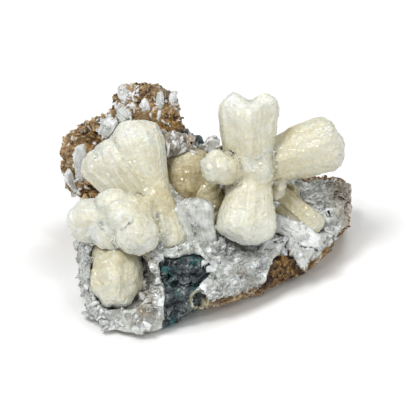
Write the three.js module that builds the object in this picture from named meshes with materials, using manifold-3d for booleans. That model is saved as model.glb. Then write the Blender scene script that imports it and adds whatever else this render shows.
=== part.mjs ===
// A stilbite specimen: cream sheaves and bow ties of stilbite on a broken piece of basalt,
// with a druse crust between them. Millimetres, +Z up, origin below the middle of the piece.

import * as THREE from "three";
import { ConvexGeometry } from "three/addons/geometries/ConvexGeometry.js";
import { mergeVertices } from "three/addons/utils/BufferGeometryUtils.js";
import Module from "manifold-3d";

const wasm = await Module();
wasm.setup();

// Driving dimensions. The crystals stand on a display face that leans back from the vertical.
const FACE_LEAN = THREE.MathUtils.degToRad(35);
const FACE_HEIGHT = 31.6; // height of the face's middle point above the ground
const GAP = 0.35; // air left between neighbouring pieces
const CRUST = 2.6; // thickness of the druse crust
const RIM = 2; // bare rock left below the crust, above the ground
const DRUSE_SIZE = 2.5; // half width of a crystal of the druse
const DRUSE_STEP = 11.4; // spacing of the druse's larger crystals
const SIDES = 11; // facets round a sheaf
const BEVEL = 0.6; // worn edge of a tabular crystal
const REACH = 200; // larger than the specimen, for tools that cut right through it

// The turn that carries face coordinates (across, up, out) into the part's frame.
const FACE_TURN = new THREE.Quaternion().setFromAxisAngle(
  new THREE.Vector3(1, 0, 0),
  Math.PI / 2 - FACE_LEAN,
);
const OUT = new THREE.Vector3(0, 0, 1).applyQuaternion(FACE_TURN);

// A point of the display face, given across, up and out in millimetres.
function face(across, up, out) {
  return new THREE.Vector3(across, up, out)
    .applyQuaternion(FACE_TURN)
    .add(new THREE.Vector3(0, 0, FACE_HEIGHT));
}

// A small repeatable random number generator.
function randomFrom(seed) {
  let state = seed;
  return () => {
    state = (state + 0x6d2b79f5) | 0;
    let t = Math.imul(state ^ (state >>> 15), 1 | state);
    t = (t + Math.imul(t ^ (t >>> 7), 61 | t)) ^ t;
    return ((t ^ (t >>> 14)) >>> 0) / 4294967296;
  };
}

// A smooth wandering value between about -1 and 1 at a point, with bumps of the given size.
function wander(p, size, seed) {
  const [x, y, z] = [p.x / size + seed, p.y / size - 2 * seed, p.z / size + 3 * seed];
  const coarse = Math.sin(1.9 * x + Math.sin(1.3 * y)) * Math.cos(1.7 * y + Math.sin(2.1 * z));
  const fine = Math.sin(3.7 * z + 2.3 * x) * Math.cos(3.1 * x - 2.9 * y);
  return 0.65 * coarse + 0.35 * fine;
}

// A closed three.js geometry as a manifold-3d solid.
function solidOf(geometry) {
  const bare = geometry.clone();
  bare.deleteAttribute("normal");
  bare.deleteAttribute("uv");
  const merged = mergeVertices(bare, 1e-4);
  return new wasm.Manifold(
    new wasm.Mesh({
      numProp: 3,
      vertProperties: merged.attributes.position.array,
      triVerts: new Uint32Array(merged.index.array),
    }),
  );
}

// A manifold-3d solid as a three.js geometry.
function geometryOf(solid) {
  const mesh = solid.getMesh();
  const points = new Float32Array(mesh.numVert * 3);
  for (let i = 0; i < mesh.numVert; i++) {
    points.set(mesh.vertProperties.subarray(i * mesh.numProp, i * mesh.numProp + 3), 3 * i);
  }
  const geometry = new THREE.BufferGeometry();
  geometry.setAttribute("position", new THREE.BufferAttribute(points, 3));
  geometry.setIndex(new THREE.BufferAttribute(mesh.triVerts, 1));
  geometry.computeVertexNormals();
  return geometry;
}

const join = (solids) => solids.reduce((whole, solid) => whole.add(solid));
const cut = (solid, tools) => tools.reduce((rest, tool) => rest.subtract(tool), solid);

// The largest body of a solid, without the crumbs that a cut leaves.
function mainBody(solid) {
  return solid.decompose().reduce((a, b) => (b.volume() > a.volume() ? b : a));
}

// Moves every vertex of a geometry by a function of its place.
function reshape(geometry, move) {
  const place = geometry.attributes.position;
  const p = new THREE.Vector3();
  for (let i = 0; i < place.count; i++) {
    p.fromBufferAttribute(place, i);
    move(p);
    place.setXYZ(i, p.x, p.y, p.z);
  }
  return geometry;
}

// The placing of a crystal that stands at a point: its length along Y, its broad side towards facing.
function standing(point, axis, facing, turn = 0) {
  const front = facing.clone().addScaledVector(axis, -facing.dot(axis)).normalize();
  front.applyAxisAngle(axis, turn);
  const side = new THREE.Vector3().crossVectors(axis, front);
  return new THREE.Matrix4().makeBasis(side, axis, front).setPosition(point);
}

// Half of a bow tie: narrow at the root, spreading to a domed and ribbed crown.
function sheaf(spec, grow = 0) {
  const { root, crown, width, depth, neck = 0.55, dome = 0.2, ribs = 5, ribDepth = 0.05 } = spec;
  const { notch = 0, notchAt = 0, turn = 0, seed = 1 } = spec;
  const from = face(...root);
  const axis = face(...crown).sub(from);
  const length = axis.length() + grow;
  axis.normalize();
  const shoulder = 1 - dome;
  const profile = [
    [0, 0],
    [neck, 0],
    [neck + (1 - neck) * 0.25, 0.4 * shoulder],
    [neck + (1 - neck) * 0.75, 0.76 * shoulder],
    [1, shoulder],
    [0.92, shoulder + 0.45 * dome],
    [0.58, shoulder + 0.87 * dome],
    [0, 1],
  ].map(([r, y]) => new THREE.Vector2(r, y));
  const shape = reshape(new THREE.LatheGeometry(profile, SIDES), (p) => {
    const angle = Math.atan2(p.z, p.x);
    const radius = Math.hypot(p.x, p.z);
    const spread = p.y * (1 + ribDepth * Math.cos(ribs * angle + seed) * Math.min(1, 2 * radius));
    const rib = 1 + ribDepth * Math.cos(ribs * angle + seed) * Math.min(1, 1.4 * p.y);
    const square = 1 + 0.07 * Math.cos(4 * angle);
    const side = Math.cos(angle) * radius * rib * square;
    const front = Math.sin(angle) * radius * rib * square;
    const dip = notch * Math.exp(-(((side - notchAt) / 0.22) ** 2)) * Math.max(0, p.y - 0.4);
    const uneven = 0.035 * wander(p, 0.35, seed) * p.y;
    p.x = side * (width / 2 + grow) * (1 + uneven);
    p.z = front * (depth / 2 + grow) * (1 + uneven);
    p.y = (p.y === 0 ? 0 : (0.75 * p.y + 0.25 * spread) * (1 + uneven) - dip) * length;
  });
  return solidOf(shape.applyMatrix4(standing(from, axis, OUT, turn)));
}

// A block of broken rock: the hull of scattered points on a rounded box, turned about X and Z.
function block({ at, half, tilt = 0, yaw = 0, seed, corners = 24, square = 0.62 }, grow = 0) {
  const random = randomFrom(seed);
  const points = Array.from({ length: corners }, (_, i) => {
    const height = 1 - (2 * i + 1) / corners;
    const angle = 2.4 * i + 0.9 * random();
    const round = Math.sqrt(1 - height * height);
    const dir = [round * Math.cos(angle), round * Math.sin(angle), height];
    const p = new THREE.Vector3(...dir.map((d) => Math.sign(d) * Math.abs(d) ** square));
    p.multiplyScalar(0.84 + 0.16 * random());
    p.set(...half.map((h, axis) => p.getComponent(axis) * (h + 1.1 * grow)));
    return p;
  });
  const shape = new ConvexGeometry(points);
  shape.rotateX(THREE.MathUtils.degToRad(tilt));
  shape.rotateZ(THREE.MathUtils.degToRad(yaw));
  shape.translate(...at);
  return solidOf(shape);
}

// A round hollow left by gas, lengthened along the line of sight.
function pebble({ at, half }) {
  const shape = new THREE.IcosahedronGeometry(1, 1);
  shape.scale(...half);
  shape.applyQuaternion(FACE_TURN);
  const place = face(...at);
  shape.translate(place.x, place.y, place.z);
  return solidOf(shape);
}

// Everything within an outline drawn on the face, between two depths.
function prism(outline, from, to) {
  const shape = new THREE.Shape(outline.map(([across, up]) => new THREE.Vector2(across, up)));
  const body = new THREE.ExtrudeGeometry(shape, { depth: to - from, bevelEnabled: false });
  body.translate(0, 0, from);
  body.applyQuaternion(FACE_TURN);
  body.translate(0, 0, FACE_HEIGHT);
  return solidOf(body);
}

// All space below a height.
function below(height) {
  const slab = new THREE.BoxGeometry(REACH, REACH, REACH);
  slab.translate(0, 0, height - REACH / 2);
  return solidOf(slab);
}

// Where a line of sight square to the face meets a solid.
function sight(target, across, up) {
  const ray = new THREE.Raycaster(face(across, up, REACH / 2), OUT.clone().negate());
  return ray.intersectObject(target)[0];
}

// A tabular crystal: a coffin-shaped plate with bevelled edges, rooted in the solid behind it.
function plate({ at, lean, width, depth, turn = 0, sink = 1.2, base = 0.6 }, ground, grow = 0) {
  const from = sight(ground, ...at).point.addScaledVector(OUT, -sink);
  const axis = new THREE.Vector3(...lean).applyQuaternion(FACE_TURN);
  const length = axis.length() + grow;
  axis.normalize();
  const w = width / 2 + grow - BEVEL;
  const outline = [
    [-base * w, 0],
    [base * w, 0],
    [w, 0.72 * length],
    [0.35 * w, length],
    [-0.5 * w, 0.96 * length],
    [-w, 0.65 * length],
  ].map(([x, y]) => new THREE.Vector2(x, y));
  const bevels = { bevelSize: BEVEL, bevelThickness: BEVEL, bevelSegments: 1 };
  const thick = depth + 2 * grow - 2 * BEVEL;
  const shape = new THREE.ExtrudeGeometry(new THREE.Shape(outline), { depth: thick, ...bevels });
  shape.translate(0, 0, -thick / 2);
  return solidOf(shape.applyMatrix4(standing(from, axis, OUT, turn)));
}

// A stubby pointed crystal of the druse, standing out of the surface that a line of sight met.
function druseCrystal(hit, random) {
  const size = DRUSE_SIZE * (0.7 + 0.6 * random());
  const tilt = new THREE.Vector3(random() - 0.5, random() - 0.5, random() - 0.5);
  const axis = hit.face.normal.clone().add(tilt).normalize();
  const shape = new THREE.ConeGeometry(size, 1.6 * size, 4);
  shape.translate(0, 0.4 * size, 0);
  const turn = new THREE.Quaternion().setFromUnitVectors(new THREE.Vector3(0, 1, 0), axis);
  shape.applyQuaternion(turn);
  shape.translate(hit.point.x, hit.point.y, hit.point.z);
  return solidOf(shape);
}

// The matrix. Its blocks are placed in the part's frame: x across, y to the back, z up.
const rockBlocks = [
  { at: [9.5, 1, 8], half: [56, 28, 11], yaw: 31, seed: 21, corners: 38 },
  { at: [-31, -8, 13.5], half: [22, 25, 17], yaw: 10, seed: 12 },
  { at: [-29, -24.5, 4.5], half: [20, 17, 8], yaw: -6, seed: 45, corners: 30 },
  { at: [-8, -17, 13.5], half: [15, 14, 14], yaw: 20, seed: 13 },
  { at: [-23, 4, 27], half: [13, 13, 13], seed: 61, corners: 22 },
  { at: [19.5, 15, 32], half: [8, 11, 11], seed: 62, corners: 20 },
  { at: [0, 27, 21], half: [34, 15, 23], tilt: 12, seed: 37 },
  { at: [-30, 30, 33], half: [29, 14, 44], tilt: 8, yaw: -6, seed: 28, corners: 32 },
  { at: [-43, 23, 33], half: [21, 14, 25], tilt: 10, yaw: -16, seed: 19 },
  { at: [-32, 20, 16], half: [24, 20, 19], yaw: 15, seed: 51 },
  { at: [43.5, 24, 13], half: [22.5, 18, 14], yaw: 14, seed: 16 },
];
const vesicle = { at: [-3.2, -36, 18], half: [3.2, 3.4, 7] };
const niche = { at: [-34, -29, 18.5], half: [16.5, 16, 14.5], seed: 31, corners: 40, square: 0.7 };
const nicheTop = { at: [-41, -25, 28], half: [14, 13, 12], seed: 32 };

// The outline of the bare rock on the face, followed where it shows at the edge of the specimen.
const rockOutline = [
  [-59.6, 22.5], [-57, 29.2], [-52.5, 31.4], [-48.5, 34], [-39.9, 37.4], [-35.4, 42.6], [-35, 48.4], [-31.2, 49.4],
  [-20.5, 49], [-12.8, 44], [-12, 38], [-10.6, 32.5], [-4, 26.8], [8, 24], [24, 18], [40, 13.4], [52, 11.6],
  [56.4, 10.5], [58.8, 7.2], [58.8, 3.6], [56, 0], [57.9, -4.2], [57.2, -7.4], [51.8, -11.8], [50.8, -14.6],
  [45.8, -20.5], [38, -26.4], [33, -28.4], [20, -34.2], [8, -37.4], [-4.4, -39.4], [-8, -41], [-16, -46.6],
  [-21, -48.4], [-40, -47.5], [-47, -38], [-49, -28], [-50, -12], [-50, -4], [-47.5, 3.5], [-54.8, 6.5],
  [-57.5, 9], [-57.5, 14], [-54.5, 17], [-57, 19],
];

// The blocks grown together with the niche and the vesicle cut in, before the outline is applied.
function mass(grow = 0) {
  const whole = join(rockBlocks.map((spec) => block(spec, grow)));
  return cut(whole, [block(niche, -grow), block(nicheTop, -grow), pebble(vesicle)]);
}

function rock(grow = 0) {
  const wider = rockOutline.map((point) => point.map((value) => value * (1 + grow / 42)));
  return mass(grow).subtract(below(0)).intersect(prism(wider, -REACH / 2, REACH / 2));
}

// The stilbite, laid out on the face: across, up, out.
const leftCluster = [
  { root: [-20.6, -2, 8.8], crown: [-31.5, 35, 5], width: 21.5, depth: 17, neck: 0.66, dome: 0.26, seed: 1 },
  { root: [-24, -3, 9], crown: [-47, 22.5, 3], width: 17, depth: 12, neck: 0.5, ribs: 7, ribDepth: 0.09, seed: 9 },
  { root: [-22, -2, 9], crown: [-40.5, 27, 5], width: 17, depth: 14, neck: 0.6, dome: 0.3, seed: 39 },
  { root: [-22, 9, 9.5], crown: [-15.5, -18, 10], width: 16, depth: 12, neck: 0.75, seed: 2 },
  { root: [-22, -1, 13], crown: [-55.4, -6, 15], width: 17.5, depth: 16, neck: 0.7, dome: 0.3, seed: 3 },
  { root: [-24, -2, 15], crown: [-44.5, 2.2, 20], width: 12.5, depth: 12, neck: 0.75, dome: 0.35, seed: 33 },
  { root: [-26, -2, 13], crown: [-38, -6, 25], width: 15, depth: 14, neck: 0.8, dome: 0.45, seed: 36 },
  { root: [-26, -3, 12], crown: [-45, -12.4, 18.5], width: 15, depth: 14, neck: 0.8, dome: 0.4, seed: 37 },
  { root: [-23, 4, 10], crown: [-20.5, -14, 14.5], width: 13, depth: 12, neck: 0.8, dome: 0.3, seed: 38 },
  { root: [-28, -1, 15], crown: [-27.6, -16.5, 26.5], width: 17, depth: 16, neck: 0.7, dome: 0.4, seed: 4 },
];
const centerCluster = [
  { root: [15.6, 8, 6], crown: [16, 46.4, 11], width: 23.6, depth: 17, neck: 0.72, seed: 5, notch: 0.2 },
  { root: [18.5, 20, 6], crown: [14.6, -14, 11], width: 23.4, depth: 17, neck: 0.6, seed: 6 },
  { root: [17, 14, 8], crown: [-2, 16.8, 16], width: 12.6, depth: 12.4, neck: 0.6, dome: 0.35, seed: 7 },
  { root: [18, 15, 4], crown: [20.5, 17, 13.6], width: 16, depth: 13, neck: 0.8, dome: 0.4, seed: 41 },
  { root: [21, 16.8, 1], crown: [53.4, 28, -2], width: 22, depth: 16, neck: 0.78, seed: 8 },
  { root: [22, 8, 0], crown: [31, 7, 1], width: 8, depth: 7, seed: 42 },
];
const lowerSheaf = [
  { root: [-36, -10, 5], crown: [-36.4, -39, 20], width: 19.6, depth: 19, neck: 0.98, dome: 0.4, seed: 10 },
];
const backSheaf = [
  { root: [-6, -6, -12], crown: [-9, 24, -5], width: 26.5, depth: 19, neck: 0.7, dome: 0.5, seed: 14 },
];
const midSheaf = [
  { root: [6, -9, -8], crown: [-3, 11, -2], width: 13, depth: 11, neck: 0.6, dome: 0.3, seed: 15 },
];
const whiteFan = [
  { root: [-4, -15, 8], crown: [-6.4, 3.4, 12], width: 15.6, depth: 5, neck: 0.85, seed: 17, ribs: 9, ribDepth: 0.08 },
];
const rightBlade = [
  { root: [24, 8, -10], crown: [44.4, -10.4, -9], width: 13.5, depth: 8, neck: 0.8, dome: 0.1, seed: 18 },
  { root: [27, 4, -13], crown: [37, 6.5, -14], width: 7, depth: 6, seed: 19 },
];

// The white plates: where they stand on the face, and their length as a lean from the root.
const plates = {
  plate_left_tall: { at: [-51.6, 12], lean: [0.8, 12.5, 12], width: 5.8, depth: 2.6, sink: -0.3, base: 0.25 },
  plate_left_low: { at: [-53.4, 8], lean: [-3, 6.5, 7], width: 5.4, depth: 2.6, turn: 0.5 },
  plate_wall_left: { at: [-41.4, 30], lean: [3.5, 4.5, 6], width: 7, depth: 4 },
  plate_wall_middle: { at: [-34.4, 35], lean: [1.5, 3.6, 2.6], width: 6, depth: 3.6, turn: -0.5 },
  plate_top_left: { at: [-33, 42], lean: [-1.5, 6, 1], width: 4.5, depth: 3, turn: 0.8 },
  plate_top_middle: { at: [-23.5, 36.5], lean: [-2, 6, 3], width: 3.4, depth: 2.4 },
  plate_top_right: { at: [-20, 38], lean: [1, 7.5, 2.5], width: 3.2, depth: 2.2, turn: -0.4 },
  plate_top_edge: { at: [-14.5, 40], lean: [0.5, 5.5, 2], width: 3.6, depth: 2.4, turn: 0.6 },
  plate_back: { at: [2.2, 23], lean: [-1, 5.2, 2], width: 6.5, depth: 4 },
  plate_right_long: { at: [26, -5], lean: [19, -9.5, 4.5], width: 8.5, depth: 9, sink: -5 },
  plate_right_point: { at: [38.2, -23.4], lean: [-0.8, 13.5, 3.5], width: 12.5, depth: 2.6, sink: 0.4, base: 0.12 },
};

// The druse crust covers the front of the rock within an outline on the face.
const crustOutline = [
  [-51.6, -12.8], [-52.6, -21.6], [-51.6, -30.8], [-50, -37.6], [-46, -43.6], [-41.6, -47.2], [-39, -49.6],
  [-21, -48.6], [-15.2, -45.2], [-8.8, -41.2], [-4.4, -37.4], [8, -34], [20, -31], [29.6, -27.4], [36.8, -25.2],
  [44.6, -18.8], [49.6, -13.6], [50.6, -11], [56, -6.8], [56.8, -4], [54.6, 0], [57.6, 4], [57.6, 7.2],
  [54.8, 10.6], [46.8, 11.8], [38.8, 11.2], [30.8, 13.2], [12.8, 19.2], [-3.2, 26.4], [-11.2, 29.2],
  [-19.2, 31.2], [-23.2, 23.2], [-23.2, 3.2], [-35.2, -2], [-49.6, -8],
];
const darkWindow = [
  [-20.8, -18.4], [-13.6, -19.4], [-8.6, -17.8], [-4, -17.4], [0.4, -20.4], [1.6, -24.4], [-2, -28.8],
  [-6, -32.8], [-6.4, -38.8], [-8.8, -43.2], [-18.4, -50.8], [-17.4, -40.8], [-17, -34], [-18.8, -25.6],
];
const brownWindow = [
  [21.6, -38], [22, -30], [25.6, -19.5], [30, -14.4], [33, -17], [37.8, -25], [37.4, -34],
];
const region = cut(prism(crustOutline, -26, 45), [
  prism(darkWindow, -40, 50),
  prism(brownWindow, -40, 50),
  below(RIM),
]);

const sheaves = (specs, grow) => join(specs.map((spec) => sheaf(spec, grow)));

// Each crystal group stands clear of the rock and of the groups before it.
const stilbites = {
  stilbite_left_cluster: leftCluster,
  stilbite_center_cluster: centerCluster,
  stilbite_lower_sheaf: lowerSheaf,
  stilbite_back_sheaf: backSheaf,
  stilbite_mid_sheaf: midSheaf,
  stilbite_white_fan: whiteFan,
  stilbite_right_blade: rightBlade,
};
const solids = { basalt_matrix: rock() };
const skin = mass(CRUST).intersect(region);
const ground = new THREE.Mesh(geometryOf(skin.add(solids.basalt_matrix)));
const taken = [rock(GAP)];
for (const [name, specs] of Object.entries(stilbites)) {
  solids[name] = mainBody(cut(sheaves(specs), taken));
  taken.push(sheaves(specs, GAP));
}
for (const [name, spec] of Object.entries(plates)) {
  solids[name] = mainBody(cut(plate(spec, ground), taken));
  taken.push(plate(spec, ground, GAP));
}

const crystals = [];
const random = randomFrom(77);
const bounds = new THREE.Box2().setFromPoints(crustOutline.map(([x, y]) => new THREE.Vector2(x, y)));
for (let across = bounds.min.x; across < bounds.max.x; across += DRUSE_STEP) {
  for (let up = bounds.min.y; up < bounds.max.y; up += DRUSE_STEP) {
    const hit = sight(ground, across + DRUSE_STEP * random(), up + DRUSE_STEP * random());
    if (hit) crystals.push(druseCrystal(hit, random));
  }
}
const crust = join([skin, ...crystals]).intersect(region);
solids.druse_crust = mainBody(cut(crust, taken));

// What each kind of piece looks like.
const finishes = {
  basalt: { color: "#65503f", roughness: 0.92 },
  stilbite: { color: "#e6ddc2", roughness: 0.45 },
  plate: { color: "#dfe1dd", roughness: 0.3 },
  druse: { color: "#c8cbc5", roughness: 0.28 },
};

const specimen = new THREE.Group();
for (const [name, solid] of Object.entries(solids)) {
  const finish = finishes[name.split("_")[0]];
  const mesh = new THREE.Mesh(
    geometryOf(solid),
    new THREE.MeshStandardMaterial({ ...finish, metalness: 0 }),
  );
  mesh.name = name;
  specimen.add(mesh);
}

// The origin lies on the ground, below the middle of the specimen's bounding box.
const middle = new THREE.Box3().setFromObject(specimen).getCenter(new THREE.Vector3());
specimen.position.set(-middle.x, -middle.y, 0);

export default specimen;
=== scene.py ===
"""A stilbite specimen: cream sheaves and bow ties on a piece of basalt, with a sparkling druse.

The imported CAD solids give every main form. Each one is copied, remeshed finely and given the grain of
the real mineral: fluted flanks and stepped crowns on the sheaves, pits and fractures on the rock, and
small crystals grown over the druse.
"""

import sys

import logging
import math
from collections.abc import Callable
from dataclasses import dataclass, field
from enum import Enum

import bpy
import numpy as np
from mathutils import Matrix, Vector
from mathutils.bvhtree import BVHTree


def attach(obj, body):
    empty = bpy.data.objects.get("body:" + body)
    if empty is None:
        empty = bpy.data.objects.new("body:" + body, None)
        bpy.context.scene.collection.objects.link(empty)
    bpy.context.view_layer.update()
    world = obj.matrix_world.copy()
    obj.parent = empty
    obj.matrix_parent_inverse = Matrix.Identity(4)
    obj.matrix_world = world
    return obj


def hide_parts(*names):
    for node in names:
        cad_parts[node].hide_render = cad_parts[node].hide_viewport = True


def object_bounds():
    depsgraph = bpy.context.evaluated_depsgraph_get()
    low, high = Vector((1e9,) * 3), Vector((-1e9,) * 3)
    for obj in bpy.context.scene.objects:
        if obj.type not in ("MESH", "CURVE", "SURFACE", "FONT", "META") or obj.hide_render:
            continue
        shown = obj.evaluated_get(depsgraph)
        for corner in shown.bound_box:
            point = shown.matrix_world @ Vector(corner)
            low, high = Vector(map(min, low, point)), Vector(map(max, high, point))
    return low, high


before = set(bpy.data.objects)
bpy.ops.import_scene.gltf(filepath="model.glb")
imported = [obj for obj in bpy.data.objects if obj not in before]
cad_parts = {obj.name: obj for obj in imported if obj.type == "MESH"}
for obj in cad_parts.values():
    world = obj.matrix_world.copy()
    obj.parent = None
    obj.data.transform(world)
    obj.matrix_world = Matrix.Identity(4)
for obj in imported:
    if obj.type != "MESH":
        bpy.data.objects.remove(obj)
CAD_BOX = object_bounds()

LOG = logging.getLogger("stilbite")
MM = 0.001


def linear(code: str) -> tuple[float, float, float, float]:
    """Turn an sRGB hex colour into a linear one with full alpha.

    Args:
        code: The colour as six hex digits after a hash sign.

    Returns:
        Red, green, blue and alpha, linear.
    """
    values = [int(code[i : i + 2], 16) / 255 for i in (1, 3, 5)]
    flat = [v / 12.92 if v <= 0.04045 else ((v + 0.055) / 1.055) ** 2.4 for v in values]
    return (*flat, 1.0)


def smooth(value: np.ndarray, low: float, high: float) -> np.ndarray:
    """Ease from 0 at low to 1 at high.

    Args:
        value: The numbers to ease.
        low: Where the result leaves 0.
        high: Where the result reaches 1.

    Returns:
        The eased numbers.
    """
    t = np.clip((value - low) / (high - low), 0, 1)
    return t * t * (3 - 2 * t)


def hashed(cell: np.ndarray, seed: int) -> np.ndarray:
    """Give each whole-number cell of space its own number between 0 and 1.

    Args:
        cell: Cells as whole numbers, three to a row.
        seed: Another seed gives other numbers.

    Returns:
        One number for each cell.
    """
    x = cell.astype(np.int64)
    h = (x[..., 0] * 73856093) ^ (x[..., 1] * 19349663) ^ (x[..., 2] * 83492791) ^ (seed * 40503)
    h = (h & 0xFFFFFFFF) ^ ((h & 0xFFFFFFFF) >> 13)
    h = (h * 1274126177) & 0xFFFFFFFF
    return (h ^ (h >> 16)) / 4294967295.0


def drift(points: np.ndarray, size: float, seed: int, octaves: int = 1) -> np.ndarray:
    """Smooth noise between about -1 and 1.

    Args:
        points: Places in millimetres, three to a row.
        size: Width of the largest bumps in millimetres.
        seed: Another seed gives another noise.
        octaves: How many layers, each of half the size and strength of the one before.

    Returns:
        One value for each place.
    """
    total = np.zeros(len(points))
    for octave in range(octaves):
        p = points / (size / 2**octave)
        base = np.floor(p)
        f = p - base
        f = f * f * (3 - 2 * f)
        value = np.zeros(len(points))
        for corner in np.ndindex(2, 2, 2):
            weight = np.prod(np.where(corner, f, 1 - f), axis=1)
            value += weight * hashed(base + corner, seed + 31 * octave)
        total += (2 * value - 1) * 0.5**octave
    return total


@dataclass(frozen=True)
class Grains:
    """Space broken into grains of about one size, each with its own middle."""

    size: float
    seed: int

    def read(self, points: np.ndarray) -> tuple[np.ndarray, np.ndarray, np.ndarray]:
        """Find the grain that each place lies in.

        Args:
            points: Places in millimetres, three to a row.

        Returns:
            The distance to the grain's middle as a share of its size, a number between 0 and 1 that
            is the same all over the grain, and a height in shares of the size on the grain's own
            tilted flat face.
        """
        p = points / self.size
        base = np.floor(p)
        near = np.full(len(points), 9.0)
        name = np.zeros(len(points))
        tilt = np.zeros(len(points))
        for step in np.ndindex(3, 3, 3):
            cell = base + step - 1
            away = p - cell - np.stack([hashed(cell, self.seed + k) for k in (1, 2, 3)], axis=1)
            far = np.linalg.norm(away, axis=1)
            lean = np.stack([hashed(cell, self.seed + k) for k in (5, 6, 7)], axis=1) - 0.5
            closer = far < near
            near = np.where(closer, far, near)
            name = np.where(closer, hashed(cell, self.seed + 4), name)
            tilt = np.where(closer, np.sum(away * lean, axis=1), tilt)
        return near, name, tilt


@dataclass(frozen=True)
class Face:
    """The display face, which leans back and carries the layout: across, up and out, in millimetres."""

    lean: float = math.radians(35)
    middle: tuple[float, float, float] = (0.4, 0.637, 31.6)

    def turn(self) -> np.ndarray:
        """Give the directions across, up and out as columns in the frame."""
        c, s = math.cos(self.lean), math.sin(self.lean)
        return np.array([[1, 0, 0], [0, s, -c], [0, c, s]])

    def place(self, point: tuple[float, float, float]) -> np.ndarray:
        """Carry a point of the face into the frame, in millimetres."""
        return self.turn() @ np.array(point, float) + self.middle

    def read(self, points: np.ndarray) -> np.ndarray:
        """Carry places in the frame, in millimetres, back onto the face."""
        return (points - self.middle) @ self.turn()

    def inside(self, points: np.ndarray, outline: list[tuple[float, float]], soft: float) -> np.ndarray:
        """Tell how far places lie inside an outline drawn on the face.

        Args:
            points: Places in the frame in millimetres.
            outline: Corners as across and up.
            soft: Width of the eased border in millimetres.

        Returns:
            1 inside, 0 outside, eased across the border.
        """
        u, v = self.read(points)[:, :2].T
        corners = np.array(outline, float)
        within = np.zeros(len(points), bool)
        gap = np.full(len(points), 1e9)
        for a, b in zip(corners, np.roll(corners, -1, axis=0)):
            rise = b[1] - a[1] if abs(b[1] - a[1]) > 1e-9 else 1e-9
            within ^= ((a[1] > v) != (b[1] > v)) & (u < a[0] + (b[0] - a[0]) * (v - a[1]) / rise)
            edge = b - a
            t = np.clip(((u - a[0]) * edge[0] + (v - a[1]) * edge[1]) / (edge @ edge), 0, 1)
            gap = np.minimum(gap, np.hypot(u - a[0] - t * edge[0], v - a[1] - t * edge[1]))
        return smooth(np.where(within, gap, -gap), -soft / 2, soft / 2)


FACE = Face()


def node(
    tree: bpy.types.NodeTree, kind: str, out: int = 0, stops: dict[float, str] | None = None, **values: object
) -> bpy.types.NodeSocket | None:
    """Add a shader node with its settings and links.

    Args:
        tree: The material's node tree.
        kind: The node's type, without the leading ShaderNode.
        out: Which of its outlets is wanted.
        stops: The colours of a colour ramp as sRGB hex, by their positions.
        values: Settings by name in small letters, and inlets by name with _ for a space or by _ and
            their number. An inlet is given an outlet to link or a value to hold.

    Returns:
        The wanted outlet, or nothing where the node has none.
    """
    made = tree.nodes.new("ShaderNode" + kind)
    if stops:
        for _ in range(len(stops) - 2):
            made.color_ramp.elements.new(0.5)
        for element, (place, code) in zip(made.color_ramp.elements, sorted(stops.items())):
            element.position = place
            element.color = linear(code)
    for name, value in values.items():
        if name[0].islower():
            setattr(made, name, value)
            continue
        inlet = made.inputs[int(name[1:])] if name[1:].isdigit() else made.inputs[name.replace("_", " ")]
        if isinstance(value, bpy.types.NodeSocket):
            tree.links.new(value, inlet)
        else:
            inlet.default_value = value
    return made.outputs[out] if made.outputs else None


def begin(name: str) -> tuple[bpy.types.Material, bpy.types.NodeTree]:
    """Start a material with an empty node tree.

    Args:
        name: What the real surface is.

    Returns:
        The material and its node tree.
    """
    material = bpy.data.materials.new(name)
    material.use_nodes = True
    material.node_tree.nodes.clear()
    return material, material.node_tree


def glints(
    tree: bpy.types.NodeTree, where: bpy.types.NodeSocket, shade: bpy.types.NodeSocket, lean: float
) -> bpy.types.NodeSocket:
    """Tilt the gloss grain by grain, so that single grains catch the light.

    Args:
        tree: The material's node tree.
        where: Places on the surface, in metres.
        shade: A colour that is the same all over a grain.
        lean: How far the grains lean.

    Returns:
        The tilted normal.
    """
    tilt = node(tree, "VectorMath", operation="SUBTRACT", _0=shade, _1=(0.5, 0.5, 0.5))
    facet = node(tree, "VectorMath", 1, operation="DOT_PRODUCT", _0=tilt, _1=where)
    return node(tree, "Bump", Height=facet, Strength=1.0, Distance=lean)


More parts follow.
